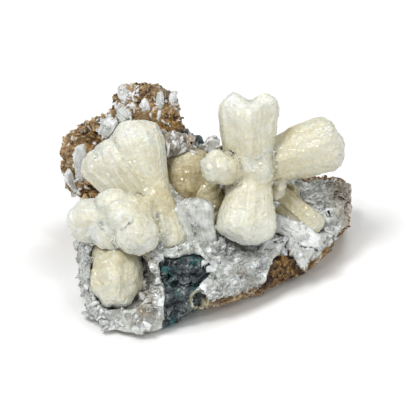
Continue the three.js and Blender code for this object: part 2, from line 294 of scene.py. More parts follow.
@dataclass(frozen=True)
class PearlyStilbite:
    """Stilbite in sheaves: a sheaf is thin blades side by side, so it is cream, pearly, milky below its
    surface and fibrous along the blades. It is painted darker and warmer where it lies further back, as
    painted shade, and where a sheaf's warmth is set higher, which is partly its own colour and partly painted
    shade."""

    name: str = "stilbite_pearly_cream"
    rough: tuple[float, float] = (0.25, 0.55)
    relief: float = 0.24
    milky: float = 0.8
    lift: float = 0.0

    def build(self) -> bpy.types.Material:
        """Make the material; blades are about 0.4 mm thick and their ends show as grains of 0.9 to 1.3 mm.

        Returns:
            The material.
        """
        m, t = begin(self.name)
        where = node(t, "TexCoord", 3)
        grain = node(t, "Attribute", 1, attribute_name="grain")
        # The tone attribute holds the cream tone from root to crown, with painted shade where a sheaf lies
        # further back and on sheaves set in shade.
        tint, mixed = (node(t, "Attribute", 2, attribute_name=name) for name in ("tint", "tone_and_shade"))
        fibre = node(t, "TexNoise", Vector=grain, Scale=2.6, Detail=3.0)
        cloud = node(t, "TexNoise", Vector=where, Scale=1000 / 6, Detail=4.0)
        grit = node(t, "TexNoise", Vector=where, Scale=1000 / 0.8, Detail=2.0)
        sugar = node(t, "TexVoronoi", Vector=where, Scale=1000 / 1.3)
        speck = node(t, "TexVoronoi", 1, Vector=where, Scale=1000 / 0.9)
        for value, share in ((cloud, 0.45), (fibre, 0.2), (tint, 0.15), (speck, 0.2)):
            mixed = node(t, "Math", operation="MULTIPLY_ADD", _0=value, _1=share, _2=mixed)
        spread = node(t, "MapRange", Value=mixed, From_Min=0.3 - self.lift, From_Max=1.45 - self.lift)
        # The darkest stops are reached mostly where painted shade lowers the tone.
        colour = node(
            t, "ValToRGB", Fac=spread,
            stops={0.0: "#8b7443", 0.22: "#b09d6e", 0.45: "#ccc29e", 0.7: "#d9d6c0", 1.0: "#e6e8e0"},
        )
        low, high = self.rough
        rough = node(t, "MapRange", Value=grit, From_Min=0.35, From_Max=0.65, To_Min=low, To_Max=high)
        height = node(t, "Math", operation="MULTIPLY_ADD", _0=sugar, _1=0.7, _2=fibre)
        normal = node(t, "Bump", Height=height, Strength=1.0, Distance=self.relief * MM)
        shader = node(
            t, "BsdfPrincipled", Base_Color=colour, Roughness=rough, Normal=normal, IOR=1.5,
            Subsurface_Weight=self.milky, Subsurface_Radius=(1.0, 0.8, 0.5), Subsurface_Scale=2.2 * MM,
            Coat_Weight=0.9, Coat_Roughness=0.08, Coat_Normal=glints(t, where, speck, 0.7),
        )
        node(t, "OutputMaterial", Surface=shader)
        return m


@dataclass(frozen=True)
class WhitePlate:
    """Tabular crystals seen on their cleavage face: white, pearly, finely striated along their length."""

    name: str = "stilbite_white_plate"
    milky: float = 0.35
    tones: tuple[str, str, str, str] = ("#aeb0aa", "#d2d4cf", "#ecedeb", "#fafbfb")

    def build(self) -> bpy.types.Material:
        """Make the material; striae are 0.3 mm apart, drawn 0.6 mm apart so that they show.

        Returns:
            The material.
        """
        m, t = begin(self.name)
        grain = node(t, "Attribute", 1, attribute_name="grain")
        tint = node(t, "Attribute", 2, attribute_name="tint")
        fibre = node(t, "TexNoise", Vector=grain, Scale=1.6, Detail=2.0)
        mixed = node(t, "TexNoise", Vector=node(t, "TexCoord", 3), Scale=1000 / 3, Detail=3.0)
        for value, share in ((fibre, 0.7), (tint, 0.25)):
            mixed = node(t, "Math", operation="MULTIPLY_ADD", _0=value, _1=share, _2=mixed)
        spread = node(t, "MapRange", Value=mixed, From_Min=0.55, From_Max=1.2)
        colour = node(t, "ValToRGB", Fac=spread, stops=dict(zip((0.0, 0.35, 0.7, 1.0), self.tones)))
        normal = node(t, "Bump", Height=fibre, Strength=1.0, Distance=0.25 * MM)
        shader = node(
            t, "BsdfPrincipled", Base_Color=colour, Roughness=0.22, Normal=normal, IOR=1.5,
            Transmission_Weight=0.15, Subsurface_Weight=self.milky, Subsurface_Radius=(1.0, 0.95, 0.85),
            Subsurface_Scale=1.5 * MM, Coat_Weight=0.35, Coat_Roughness=0.1,
        )
        node(t, "OutputMaterial", Surface=shader)
        return m


@dataclass(frozen=True)
class DruseBed:
    """The mass under the druse: crystals grown together, milky and wet-looking, browner where stained,
    and browner in the niche, partly as painted shade.
    """

    name: str = "druse_bed_milky_grey"
    stain_and_shade: str = "#8a6a40"

    def build(self) -> bpy.types.Material:
        """Make the material; its crystals are 1.7 to 3.6 mm across, each of one shade.

        Returns:
            The material.
        """
        m, t = begin(self.name)
        where = node(t, "TexCoord", 3)
        cloud = node(t, "TexNoise", Vector=where, Scale=1000 / 5, Detail=5.0, Roughness=0.6)
        tint, stained_and_shaded = (node(t, "Attribute", 2, attribute_name=name) for name in ("tint", "stain_and_shade"))
        mixed = node(t, "Math", operation="MULTIPLY_ADD", _0=tint, _1=0.5, _2=cloud)
        spread = node(t, "MapRange", Value=mixed, From_Min=0.42, From_Max=0.98)
        body = node(
            t, "ValToRGB", Fac=spread,
            stops={0.0: "#85847a", 0.3: "#acafa7", 0.55: "#cbcfcb", 0.8: "#e6e9e7", 1.0: "#f9fafa"},
        )
        # The brown mixed in is real stain, and partly painted shade in the niche beside the lower sheaf.
        colour = node(t, "Mix", 2, data_type="RGBA", _0=stained_and_shaded, _6=body, _7=linear(self.stain_and_shade))
        fine = node(t, "TexVoronoi", Vector=where, Scale=1000 / 1.8)
        normal = node(t, "Bump", Height=fine, Strength=1.0, Distance=0.3 * MM)
        cell = node(t, "TexVoronoi", 1, Vector=where, Scale=1000 / 1.3)
        shader = node(
            t, "BsdfPrincipled", Base_Color=colour, Roughness=0.15, Normal=normal, IOR=1.5,
            Subsurface_Weight=0.5, Subsurface_Radius=(1.0, 0.95, 0.85), Subsurface_Scale=1.6 * MM,
            Coat_Weight=0.9, Coat_Roughness=0.05, Coat_Normal=glints(t, where, cell, 0.8),
        )
        node(t, "OutputMaterial", Surface=shader)
        return m


@dataclass(frozen=True)
class GlassyDruse:
    """The druse's free crystals: clear to milky, with glassy faces that glint."""

    name: str = "druse_crystals_glassy"
    stain_and_shade: str = "#9c7c4c"
    clear: float = 0.5

    def build(self) -> bpy.types.Material:
        """Make the material; each crystal has its own shade and gloss.

        Returns:
            The material.
        """
        m, t = begin(self.name)
        tint, stained_and_shaded = (node(t, "Attribute", 2, attribute_name=name) for name in ("tint", "stain_and_shade"))
        body = node(t, "ValToRGB", Fac=tint, stops={0.0: "#cfcec4", 0.5: "#e6e8e5", 1.0: "#fbfcfc"})
        # The brown mixed in is real stain, and partly painted shade in the niche beside the lower sheaf.
        colour = node(t, "Mix", 2, data_type="RGBA", _0=stained_and_shaded, _6=body, _7=linear(self.stain_and_shade))
        cloud = node(t, "TexNoise", Vector=node(t, "TexCoord", 3), Scale=1000 / 1.5, Detail=2.0)
        rough = node(t, "MapRange", Value=cloud, From_Min=0.3, From_Max=0.7, To_Min=0.03, To_Max=0.22)
        shader = node(
            t, "BsdfPrincipled", Base_Color=colour, Roughness=rough, IOR=1.5, Transmission_Weight=self.clear
        )
        node(t, "OutputMaterial", Surface=shader)
        return m


@dataclass(frozen=True)
class StainedBasalt:
    """Broken, pitted basalt: iron-stained brown outside, fresh blue-black with teal celadonite in front."""

    name: str = "basalt_iron_stained"

    def build(self) -> bpy.types.Material:
        """Make the material; stains are about 7 mm across, and the broken rock's own grains 1.6 mm.

        Returns:
            The material.
        """
        m, t = begin(self.name)
        where = node(t, "TexCoord", 3)
        cloud = node(t, "TexNoise", Vector=where, Scale=1000 / 7, Detail=6.0, Roughness=0.65)
        grit = node(t, "TexNoise", Vector=where, Scale=1000 / 1.6, Detail=4.0, Roughness=0.7)
        tint, brown_window_shade, iron, teal, dark, lining = (
            node(t, "Attribute", 2, attribute_name=name)
            for name in ("tint", "brown_window_shade", "iron", "teal", "dark", "lining")
        )
        mixed = cloud
        # The brown window mark lowers the tone as painted shade between the white plates, and the tint
        # carries painted shade in the pits.
        for value, share in ((grit, 0.8), (tint, 0.25), (brown_window_shade, -0.2)):
            mixed = node(t, "Math", operation="MULTIPLY_ADD", _0=value, _1=share, _2=mixed)
        spread = node(t, "MapRange", Value=mixed, From_Min=0.68, From_Max=1.3)
        brown = node(
            t, "ValToRGB", Fac=spread,
            stops={
                0.0: "#1c1511", 0.22: "#5a3f26", 0.42: "#93703d",
                0.6: "#b3905a", 0.76: "#c9b08f", 1.0: "#efe8de",
            },
        )
        grey = node(
            t, "ValToRGB", Fac=spread, stops={0.0: "#221e1b", 0.4: "#5a4f45", 0.7: "#8d7f6e", 1.0: "#bab1a5"}
        )
        stained_and_shaded = node(t, "Mix", 2, data_type="RGBA", _0=iron, _6=grey, _7=brown)
        black = node(
            t, "ValToRGB", Fac=spread,
            stops={0.0: "#15181a", 0.35: "#2b3033", 0.62: "#4a5053", 0.82: "#727a7a", 1.0: "#b0b9b6"},
        )
        film = node(t, "TexNoise", Vector=where, Scale=1000 / 2.4, Detail=4.0)
        film = node(t, "MapRange", Value=film, From_Min=0.44, From_Max=0.56)
        film = node(t, "Math", operation="MULTIPLY", _0=film, _1=teal)
        front = node(t, "Mix", 2, data_type="RGBA", _0=film, _6=black, _7=linear("#2e6565"))
        colour = node(t, "Mix", 2, data_type="RGBA", _0=dark, _6=stained_and_shaded, _7=front)
        colour = node(t, "Mix", 2, data_type="RGBA", _0=lining, _6=colour, _7=linear("#c9c6a6"))
        normal = node(t, "Bump", Height=grit, Strength=1.0, Distance=0.6 * MM)
        shader = node(t, "BsdfPrincipled", Base_Color=colour, Roughness=0.85, Normal=normal, IOR=1.55)
        node(t, "OutputMaterial", Surface=shader)
        return m


@dataclass(frozen=True)
class PaleFloor:
    """Matt white studio board."""

    name: str = "studio_board_white"

    def build(self) -> bpy.types.Material:
        """Make the material; the board's tooth is too fine to show and is drawn 2 mm wide.

        Returns:
            The material.
        """
        m, t = begin(self.name)
        tooth = node(t, "TexNoise", Vector=node(t, "TexCoord", 3), Scale=1000 / 2, Detail=2.0)
        colour = node(t, "ValToRGB", Fac=tooth, stops={0.0: "#f7f7f6", 1.0: "#fbfbfa"})
        node(t, "OutputMaterial", Surface=node(t, "BsdfPrincipled", Base_Color=colour, Roughness=0.9))
        return m


def select_only(piece: bpy.types.Object) -> None:
    """Select one object and nothing else, and make it the active one."""
    bpy.ops.object.select_all(action="DESELECT")
    piece.select_set(True)
    bpy.context.view_layer.objects.active = piece


def apply(piece: bpy.types.Object, kind: str, **settings: object) -> None:
    """Add a modifier to a piece and apply it.

    Args:
        piece: The piece to change.
        kind: The modifier's type.
        settings: The modifier's settings by name.
    """
    select_only(piece)
    modifier = piece.modifiers.new(kind.lower(), kind)
    for name, value in settings.items():
        setattr(modifier, name, value)
    bpy.ops.object.modifier_apply(modifier=modifier.name)


def places(piece: bpy.types.Object, what: str = "co") -> np.ndarray:
    """Read a mesh's vertices, or their normals.

    Args:
        piece: The piece to read.
        what: The value's name: co for the places, normal for the normals.

    Returns:
        Places in millimetres or unit normals, three to a row.
    """
    flat = np.empty(3 * len(piece.data.vertices), np.float32)
    piece.data.vertices.foreach_get(what, flat)
    return flat.reshape(-1, 3).astype(float) * (1000 if what == "co" else 1)


def emboss(piece: bpy.types.Object, height: np.ndarray) -> None:
    """Raise a surface by a height at each vertex, through a weight group and displace modifiers.

    Args:
        piece: The piece to change.
        height: Heights in millimetres, one for each vertex.
    """
    low, high = float(height.min()), float(height.max())
    group = piece.vertex_groups.new(name="relief")
    share = (height - low) / max(high - low, 1e-6)
    for index, weight in enumerate(share.tolist()):
        group.add((index,), weight, "REPLACE")
    for lift, name in ((high - low, "relief"), (low, "")):
        if abs(lift) > 1e-4:
            apply(piece, "DISPLACE", strength=lift * MM, mid_level=0.0, vertex_group=name)
    piece.vertex_groups.clear()


def keep_value(piece: bpy.types.Object, name: str, values: np.ndarray) -> None:
    """Keep a number, or three, at each vertex for the material to read.

    Args:
        piece: The piece that keeps them.
        name: The attribute's name.
        values: One number or one row of three for each vertex.
    """
    made = piece.data.attributes.new(name, "FLOAT_VECTOR" if values.ndim == 2 else "FLOAT", "POINT")
    made.data.foreach_set("vector" if values.ndim == 2 else "value", values.astype(np.float32).ravel())


def gaps(points: np.ndarray, *starts: str) -> np.ndarray:
    """Measure how far places lie from the CAD nodes whose names start so.

    Args:
        points: Places in millimetres.
        starts: How the nodes' names start.

    Returns:
        The gaps in millimetres.
    """
    corners, faces = [], []
    for name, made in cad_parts.items():
        if name.startswith(starts):
            first = len(corners)
            corners += [corner.co.copy() for corner in made.data.vertices]
            faces += [[first + index for index in side.vertices] for side in made.data.polygons]
    tree = BVHTree.FromPolygons(corners, faces)
    return np.array([tree.find_nearest(Vector(point * MM))[3] for point in points]) * 1000


def shade(piece: bpy.types.Object, angle: float) -> None:
    """Shade a piece smooth up to an angle in degrees."""
    select_only(piece)
    bpy.ops.object.shade_smooth_by_angle(angle=math.radians(angle), keep_sharp_edges=False)


def settle(piece: bpy.types.Object, slot: str, material: bpy.types.Material, *stands_for: str) -> None:
    """Dress a finished piece, keep it inside the CAD box and tie it to the frame.

    Args:
        piece: The finished piece.
        slot: The record's material slot; not used.
        material: The piece's material.
        stands_for: The CAD nodes that it replaces.
    """
    low, high = np.array(CAD_BOX[0]), np.array(CAD_BOX[1])
    spot = np.clip(places(piece) / 1000, low, high).astype(np.float32)
    piece.data.vertices.foreach_set("co", spot.ravel())
    piece.data.update()
    piece.data.materials.clear()
    piece.data.materials.append(material)
    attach(piece, "root")
    if stands_for:
        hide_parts(*stands_for)
    piece.data.calc_loop_triangles()
    LOG.info("%s: %d triangles", piece.name, len(piece.data.loop_triangles))


def cad_copy(name: str, source: str, grain: float, rounds: int) -> bpy.types.Object:
    """Copy a CAD node, merge it and remesh it finely with its facets eased.

    Args:
        name: The new piece's name.
        source: The CAD node's name.
        grain: Size of the new mesh's faces in millimetres.
        rounds: How many times the facets are eased.

    Returns:
        The new piece.
    """
    piece = bpy.data.objects.new(name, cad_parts[source].data.copy())
    bpy.context.scene.collection.objects.link(piece)
    select_only(piece)
    bpy.ops.object.mode_set(mode="EDIT")
    bpy.ops.mesh.select_all(action="SELECT")
    bpy.ops.mesh.remove_doubles(threshold=1e-6)
    bpy.ops.object.mode_set(mode="OBJECT")
    apply(piece, "REMESH", mode="VOXEL", voxel_size=grain * MM)
    apply(piece, "SMOOTH", factor=0.5, iterations=rounds)
    return piece


class Habit(Enum):
    """The form of a small crystal."""

    POINT = "point"
    PLATE = "plate"
    GRAIN = "grain"


@dataclass(frozen=True)
class SmallCrystal:
    """One small crystal, modelled at unit size, standing on the origin along +Z."""

    habit: Habit

    def build(self) -> tuple[np.ndarray, np.ndarray]:
        """Model the crystal: a prism whose top is drawn out to a wedge or a point.

        Returns:
            Its vertices and its triangles.
        """
        rise, top, girth = {
            Habit.POINT: ((0.04, 0.02, 0.45), (0.18, 0.3, 1.0), (0.8, 0.8, 1.0)),
            Habit.PLATE: ((0.05, 0.0, 0.28), (0.4, 0.8, 1.0), (0.9, 0.3, 1.0)),
            Habit.GRAIN: ((0.03, 0.0, 0.2), (0.55, 0.7, 1.0), (1.0, 0.6, 0.75)),
        }[self.habit]
        bpy.ops.object.select_all(action="DESELECT")
        if self.habit is Habit.POINT:
            bpy.ops.mesh.primitive_cylinder_add(vertices=6, radius=0.5, depth=1.0, location=(0, 0, 0.2))
        else:
            bpy.ops.mesh.primitive_cube_add(size=1.0, location=(0, 0, 0.2))
        piece = bpy.context.object
        bpy.ops.object.transform_apply(location=True)
        bpy.ops.object.mode_set(mode="EDIT")
        bpy.ops.mesh.select_mode(type="FACE")
        bpy.ops.mesh.select_all(action="DESELECT")
        bpy.ops.object.mode_set(mode="OBJECT")
        for side in piece.data.polygons:
            side.select = side.normal.z > 0.9
        bpy.ops.object.mode_set(mode="EDIT")
        bpy.ops.mesh.extrude_region_move(TRANSFORM_OT_translate={"value": rise})
        bpy.ops.transform.resize(value=top)
        bpy.ops.mesh.select_all(action="SELECT")
        bpy.ops.mesh.normals_make_consistent(inside=False)
        bpy.ops.mesh.quads_convert_to_tris()
        bpy.ops.object.mode_set(mode="OBJECT")
        corners = places(piece) / 1000 * girth
        faces = np.array([side.vertices[:] for side in piece.data.polygons])
        bpy.data.objects.remove(piece)
        return corners, faces


@dataclass
class CrystalScatter:
    """Many small crystals grown on a surface, joined into one mesh.

    The density is a number for each square millimetre, and the sizes are in millimetres. The spread is
    how far a crystal leans from the surface's normal, the sink the share of it that is buried, and
    aligned the share of the lean that neighbours have in common.
    """

    name: str
    habit: Habit
    density: float
    sizes: tuple[float, float]
    spread: float = 0.5
    sink: float = 0.3
    aligned: float = 0.0
    seed: int = 3
    tall: tuple[float, float] = (0.7, 1.6)

    def build(
        self, ground: bpy.types.Object, wanted: Callable[[np.ndarray, np.ndarray], np.ndarray]
    ) -> bpy.types.Object:
        """Grow the crystals.

        Args:
            ground: The piece that they grow on.
            wanted: Gives each place and direction of the ground its share of the density, 0 to 1.

        Returns:
            The joined crystals, not yet dressed.
        """
        rng = np.random.default_rng(self.seed)
        ground.data.calc_loop_triangles()
        index = np.empty(3 * len(ground.data.loop_triangles), np.int32)
        ground.data.loop_triangles.foreach_get("vertices", index)
        index = index.reshape(-1, 3)
        corners = places(ground)[index]
        first, second = corners[:, 1] - corners[:, 0], corners[:, 2] - corners[:, 0]
        area = np.linalg.norm(np.cross(first, second), axis=1) / 2
        middle = corners.mean(axis=1)
        lean = places(ground, "normal")[index].mean(axis=1)
        free = np.empty(len(ground.data.vertices), np.float32)
        ground.data.attributes["free"].data.foreach_get("value", free)
        share = area * wanted(middle, lean) * free[index].mean(axis=1)
        count = int(self.density * share.sum())
        chosen = rng.choice(len(share), count, p=share / share.sum())
        root = middle[chosen]
        up = lean[chosen] + self.spread * rng.normal(size=(count, 3))
        common = np.stack([drift(root, 9.0, self.seed + k) for k in (1, 2, 3)], axis=1)
        up += 1.5 * self.aligned * common
        up /= np.linalg.norm(up, axis=1)[:, None]
        other = (1 - self.aligned) * rng.normal(size=(count, 3)) + 2 * self.aligned * common[:, ::-1]
        side = np.cross(up, other)
        side /= np.linalg.norm(side, axis=1)[:, None]
        front = np.cross(up, side)
        size = self.sizes[0] + (self.sizes[1] - self.sizes[0]) * rng.random(count) ** 1.8
        tall = size * rng.uniform(*self.tall, count)
        shape, faces = SmallCrystal(self.habit).build()
        axes = np.stack([side * size[:, None], front * size[:, None], up * tall[:, None]], axis=1)
        vertices = ((root[:, None] + (shape - (0, 0, self.sink)) @ axes) / 1000).reshape(-1, 3)
        every = (faces[None] + len(shape) * np.arange(count)[:, None, None]).reshape(-1, 3)
        mesh = bpy.data.meshes.new(self.name)
        mesh.from_pydata(vertices.tolist(), [], every.tolist(), shade_flat=False)
        piece = bpy.data.objects.new(self.name, mesh)
        bpy.context.scene.collection.objects.link(piece)
        keep_value(piece, "tint", np.repeat(rng.random(count), len(shape)))
        return piece


@dataclass(frozen=True)
class Sheaf:
    """Where one sheaf of a cluster lies on the face, in millimetres, and how its surface has grown."""

    root: tuple[float, float, float]
    crown: tuple[float, float, float]
    width: float
    depth: float
    fluted: float = 1.0
    knobby: float = 0.25
    # How much warmer and darker the sheaf is painted: partly its own colour, partly painted shade where it
    # sits in shade.
    warmth_and_shade: float = 0.0
    ragged: float = 1.0

    def read(self, points: np.ndarray) -> tuple[np.ndarray, np.ndarray, np.ndarray, np.ndarray]:
        """Read places along and round the sheaf.

        Args:
            points: Places in millimetres.

        Returns:
            How far each place lies outside the sheaf, its share of the way to the crown, coordinates
            in millimetres that run slowly along the blades and fast round them, and coordinates in
            which the end of a blade is a grain of one millimetre.
        """
        root = FACE.place(self.root)
        axis = FACE.place(self.crown) - root
        length = float(np.linalg.norm(axis))
        axis /= length
        out = FACE.turn()[:, 2]
        front = out - axis * (out @ axis)
        front /= np.linalg.norm(front)
        away = points - root
        t = away @ axis / length
        a, b = away @ np.cross(axis, front), away @ front
        spread = 0.6 + 0.4 * np.clip(t / 0.8, 0, 1)
        outside = np.hypot(a / (self.width / 2), b / (self.depth / 2)) / spread
        outside += 4 * np.maximum(0, np.maximum(-t, t - 1))
        radius = np.maximum(np.hypot(a, b), 1e-6)
        size = 0.25 * (self.width + self.depth)
        fan = np.stack([a / radius * size, b / radius * size, 0.12 * t * length], axis=1)
        ends = np.stack([a / 2.1, b / 1.0, 0.2 * t * length], axis=1)
        return outside, t, fan, ends


@dataclass
class StilbiteCluster:
    """Sheaves grown into one another, with fluted flanks and stepped, sugary crowns."""

    name: str
    source: str
    sheaves: list[Sheaf]
    grain: float = 0.4
    seed: int = 1
    slot: str = "stilbite"
    sugar: float = 0.54
    rounds: int = 40
    swell: float = 0.3

    def build(self, material: bpy.types.Material, tips_material: bpy.types.Material) -> None:
        """Make the cluster from its CAD node, and the blade tips that stand proud on it.

        Args:
            material: The sheaves' material.
            tips_material: The blade tips' material.
        """
        piece = cad_copy(self.name, self.source, self.grain, self.rounds)
        points = places(piece)
        flutes, steps, knobs, rise = self.relief(points)
        lump = 0.45 * drift(points, 7.0, self.seed + 3, 2)
        emboss(piece, self.swell + flutes + knobs + lump)
        apply(piece, "SMOOTH", factor=0.5, iterations=3)
        sugar = Grains(1.1, self.seed + 40).read(points)[0]
        fine = 0.1 * drift(points, 0.9, self.seed + 9)
        emboss(piece, 0.1 + steps + fine - (0.12 + 0.18 * smooth(rise, 0.6, 0.9)) * sugar)
        self.mark(piece)
        keep_value(piece, "tint", 0.5 + 0.5 * drift(points, 2.0, self.seed + 11))
        keep_value(piece, "free", np.ones(len(points)))
        shade(piece, 70)
        settle(piece, self.slot, material, self.source)

        def at_crown(points: np.ndarray, normals: np.ndarray) -> np.ndarray:
            """Most blade tips on the crowns, fewer on the flanks."""
            return np.clip(0.3 + smooth(self.relief(points)[3], 0.7, 0.92), 0, 1)

        name = "tips_" + self.name
        scatter = CrystalScatter(name, Habit.GRAIN, self.sugar, (0.4, 1.0), 0.35, 0.6, seed=self.seed)
        tips = scatter.build(piece, at_crown)
        self.mark(tips)
        settle(tips, self.slot, tips_material)

    def relief(self, points: np.ndarray) -> tuple[np.ndarray, ...]:
        """Work out the relief of the sheaves, eased where one runs into another.

        Args:
            points: Places in millimetres.

        Returns:
            The heights of the flutes, of the stepped blade ends and of the knobs in millimetres, and
            the share of the way to the crown.
        """
        bent = points + 0.9 * drift(points, 3.0, self.seed)[:, None]
        knob = 0.9 - 2.6 * Grains(6.2, self.seed + 20).read(bent)[0] ** 2
        knob += 0.2 - 0.55 * Grains(2.6, self.seed + 21).read(bent)[0] ** 2
        total = np.full(len(points), 1e-9)
        sums = [np.zeros(len(points)) for _ in range(4)]
        for index, sheaf in enumerate(self.sheaves):
            outside, t, fan, ends = sheaf.read(points)
            crown = smooth(t, 0.78, 0.95)
            flank = smooth(t, 0.0, 0.25) * (1 - crown)
            seed = self.seed + 50 * index
            flutes = 0.28 * drift(fan, 2.6, seed) + 0.22 * drift(fan, 1.0, seed + 5)
            near, name, tilt = Grains(1.0, seed).read(ends)
            step = 0.4 * (name - 0.5) - 0.2 * near + 0.3 * tilt
            share = np.exp(-9 * np.minimum(outside, 6))
            total += share
            values = (sheaf.fluted * flank * flutes, sheaf.ragged * crown * step, sheaf.knobby * knob, t)
            for held, value in zip(sums, values):
                held += share * value
        return tuple(held / total for held in sums)

    def mark(self, piece: bpy.types.Object) -> None:
        """Keep the blades' run and the tone on a piece, for its material, with painted shade where it lies
        further back.

        Args:
            piece: The piece to mark.
        """
        points = places(piece)
        nearest = np.full(len(points), 1e9)
        total, tone_and_shade, grain = np.full(len(points), 1e-9), np.zeros(len(points)), np.zeros((len(points), 3))
        for index, sheaf in enumerate(self.sheaves):
            outside, t, fan, _ = sheaf.read(points)
            share = np.exp(-9 * np.minimum(outside, 6))
            total += share
            # Each sheaf's warmth lowers the tone: partly its own colour, partly painted shade on sheaves that
            # sit in shade.
            tone_and_shade += share * (0.42 * np.clip(t, 0, 1) - sheaf.warmth_and_shade)
            mine = outside < nearest
            nearest[mine], grain[mine] = outside[mine], fan[mine] + 40 * index
        # Painted shade: places further back behind the face are painted darker and warmer, in place of the
        # shade in the recesses.
        painted_depth_shade = smooth(-FACE.read(points)[:, 2], -12, 12)
        keep_value(piece, "tone_and_shade", 0.4 + tone_and_shade / total - 0.3 * painted_depth_shade)
        keep_value(piece, "grain", grain)


@dataclass
class BasaltMatrix:
    """The rock: broken faces, pits where gas was, and the front patch of fresh basalt."""

    grain: float = 0.7
    dark_window: list[tuple[float, float]] = field(
        default_factory=lambda: [
            (-21.4, -16), (-13, -15), (-5, -16), (0, -19), (3, -25),
            (-1, -30), (-2, -40), (-8, -54), (-19, -54), (-20, -37),
        ]
    )
    brown_window: list[tuple[float, float]] = field(
        default_factory=lambda: [(20, -33), (21, -29), (25, -18.6), (30, -13), (39, -24), (37, -27)]
    )
    vesicle: tuple[float, float] = (-3.2, -36)
    pit_size: float = 3.0
    pin_size: float = 1.5
    facet_size: float = 6.0
    chip_size: float = 2.4

    def build(self, material: bpy.types.Material, white: bpy.types.Material) -> None:
        """Make the rock from its CAD node, with the crumbs and white crystals that cling to it.

        Args:
            material: The rock's material.
            white: The white crystals' material.
        """
        piece = cad_copy("basalt_rock", "basalt_matrix", self.grain, 2)
        points = places(piece)
        foot = smooth(points[:, 2], 0.2, 2.5)
        bent = points + 0.9 * np.stack([drift(points, 2.0, k) for k in (4, 5, 6)], axis=1)
        near, name, _ = Grains(self.pit_size, 7).read(bent)
        pit = smooth(-near, -0.42, -0.2) * (name > 0.45)
        small, other, _ = Grains(self.pin_size, 8).read(bent)
        pin = smooth(-small, -0.4, -0.2) * (other > 0.55)
        facet = Grains(self.facet_size, 9).read(bent)[2]
        chip = Grains(self.chip_size, 10).read(bent)[2]
        rough = 0.35 * drift(points, 1.6, 15, 2)
        free = smooth(gaps(points, "druse", "stilbite"), 0.5, 1.5)
        relief = 0.35 + 1.5 * facet + 1.0 * chip - 1.1 * pit - 0.6 * pin + rough
        emboss(piece, foot * (free * relief - 0.3 * (1 - free)))
        keep_value(piece, "free", free)
        self.mark(piece)
        # Pits and pin holes are painted darker here: painted shade in the hollows.
        keep_value(piece, "tint", 0.5 + 0.5 * other - 0.7 * pit - 0.6 * pin)
        shade(piece, 30)
        settle(piece, "basalt", material, "basalt_matrix")

        def on_front(points: np.ndarray, normals: np.ndarray) -> np.ndarray:
            """Crumbs where the rock faces the front, none low down."""
            return smooth(normals @ FACE.turn()[:, 2], 0.1, 0.6) * smooth(points[:, 2], 3, 7)

        for scatter in (
            CrystalScatter("basalt_crumbs", Habit.GRAIN, 0.42, (0.5, 1.5), 0.9, 0.45, seed=31),
            CrystalScatter("basalt_chips", Habit.GRAIN, 0.14, (0.9, 2.2), 0.9, 0.62, 0.0, 32, (0.5, 0.9)),
        ):
            crumbs = scatter.build(piece, on_front)
            self.mark(crumbs)
            settle(crumbs, "basalt", material)

        def on_wall(points: np.ndarray, normals: np.ndarray) -> np.ndarray:
            """Place white crystals in patches on the wall behind the sheaves and beside them.

            Args:
                points: Places in millimetres.
                normals: The surface's directions there.

            Returns:
                The share of the density at each place.
            """
            u, v, _ = FACE.read(points).T
            patch = 0.12 + smooth(drift(points, 6.0, 34, 2), 0.2, 0.6)
            return on_front(points, normals) * smooth(v, 2, 8) * smooth(-u, 4, 12) * patch

        scatter = CrystalScatter("wall_crystals", Habit.PLATE, 0.3, (0.7, 2.6), 0.6, 0.5, 0.3, 33)
        crystals = scatter.build(piece, on_wall)
        keep_value(crystals, "grain", places(crystals))
        settle(crystals, "druse", white)

    def mark(self, piece: bpy.types.Object) -> None:
        """Keep where the rock is rusty, fresh, coated with celadonite, lined or in painted shade, for its
        material.

        Args:
            piece: The piece to mark.
        """
        points = places(piece)
        u, v, w = FACE.read(points).T
        front = smooth(w, -24, -14)
        dark = FACE.inside(points, self.dark_window, 3.0) * front
        upper = smooth(u, -26, -12) * smooth(v, 4, 14) * smooth(-u, -30, -2)
        stray = smooth(drift(points, 8.0, 25, 2), 0.1, 0.5) * upper
        ridge = FACE.inside(points, [(-12, 30), (-8, 34), (6, 26), (2, 20), (-8, 24)], 4.0)
        ridge = ridge * smooth(w, -38, -30)
        edge = FACE.inside(points, [(40, 9), (40, 17), (54, 15), (54, 9)], 3.0) * smooth(w, -30, -24)
        back = smooth(points[:, 1], 10, 36) * smooth(-v, -30, 0)
        iron = np.clip(0.8 + 0.5 * drift(points, 16.0, 21, 2), 0, 1)
        rim = np.hypot(u - self.vesicle[0], v - self.vesicle[1])
        keep_value(piece, "iron", iron * (1 - 0.6 * back))
        keep_value(piece, "dark", np.clip(np.maximum.reduce([dark, 0.7 * stray, ridge, edge]), 0, 1))
        core = FACE.inside(points, self.dark_window, 11.0)
        keep_value(piece, "teal", dark * smooth(drift(points, 5.0, 23, 2) - 1.1 * core, -1.2, -0.5))
        # Painted shade: the rock seen in the brown window between the white plates is painted darker.
        keep_value(piece, "brown_window_shade", FACE.inside(points, self.brown_window, 2.0) * front)
        keep_value(piece, "lining", smooth(-np.abs(rim - 3.5), -0.7, -0.2) * front)


